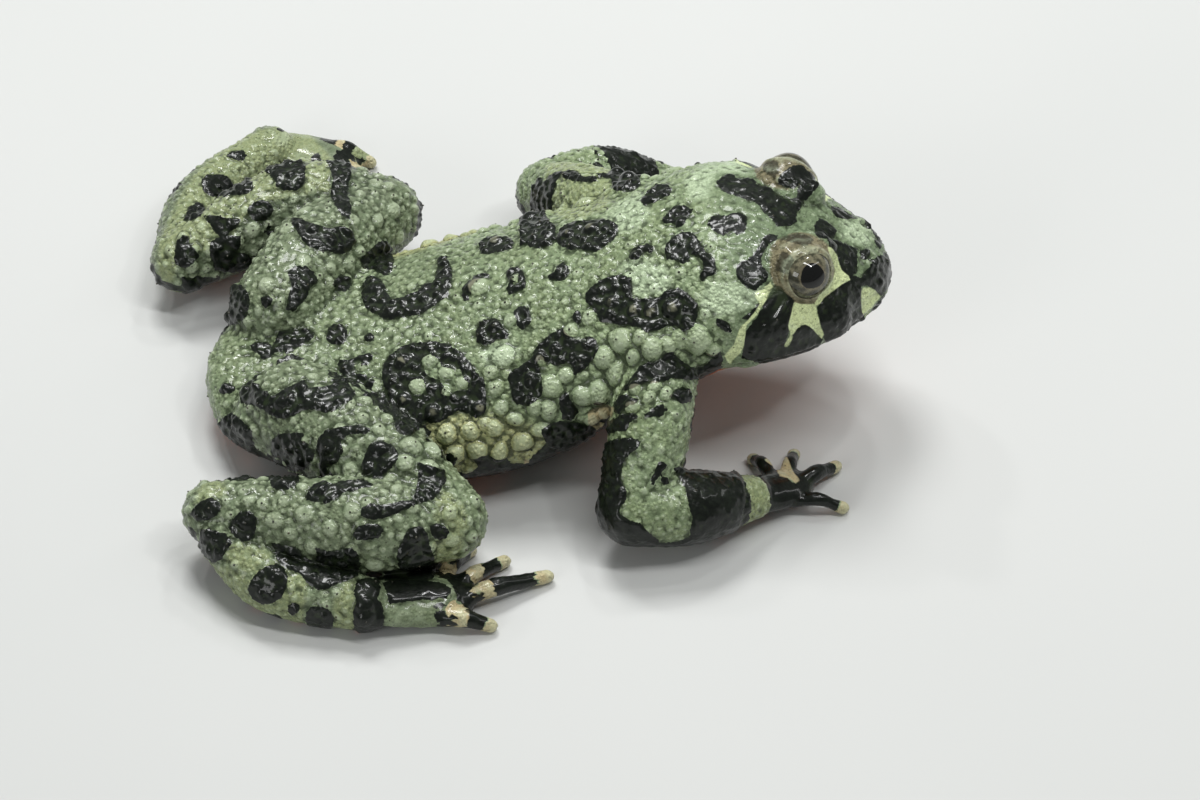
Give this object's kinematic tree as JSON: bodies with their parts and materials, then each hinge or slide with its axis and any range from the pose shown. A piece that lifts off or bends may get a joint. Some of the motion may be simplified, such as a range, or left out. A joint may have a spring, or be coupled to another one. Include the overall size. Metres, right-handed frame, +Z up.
{
  "type": "oriental fire-bellied toad model",
  "caption": "Life-size model of a resting oriental fire-bellied toad, warty green skin with black blotches, legs folded, head raised.",
  "frame": {"origin": "middle of the underside of the box round the whole toad, on the surface it rests on", "axes": "+X towards the snout, +Y towards the toad's left, +Z up from the surface it rests on"},
  "size_m": [0.0466, 0.0452, 0.0153],
  "materials": {
    "skin_green": "wet warty skin, green with black blotches",
    "skin_grey": "wet warty skin, grey-green with black blotches",
    "skin_dark": "wet black skin with pale finger tips",
    "eye": "polished, bronze ring round a black pupil"
  },
  "bodies": {
    "root": {"head": "skin_green", "torso": "skin_green", "eye_right": "eye", "eye_left": "eye", "thigh_right": "skin_green", "shank_right": "skin_grey", "tarsus_right": "skin_green", "foot_right": "skin_grey", "upper_arm_right": "skin_green", "forearm_right": "skin_green", "hand_right": "skin_dark", "thigh_left": "skin_green", "shank_left": "skin_grey", "tarsus_left": "skin_green", "foot_left": "skin_grey", "upper_arm_left": "skin_green", "forearm_left": "skin_green", "hand_left": "skin_dark"}
  },
  "joints": []
}
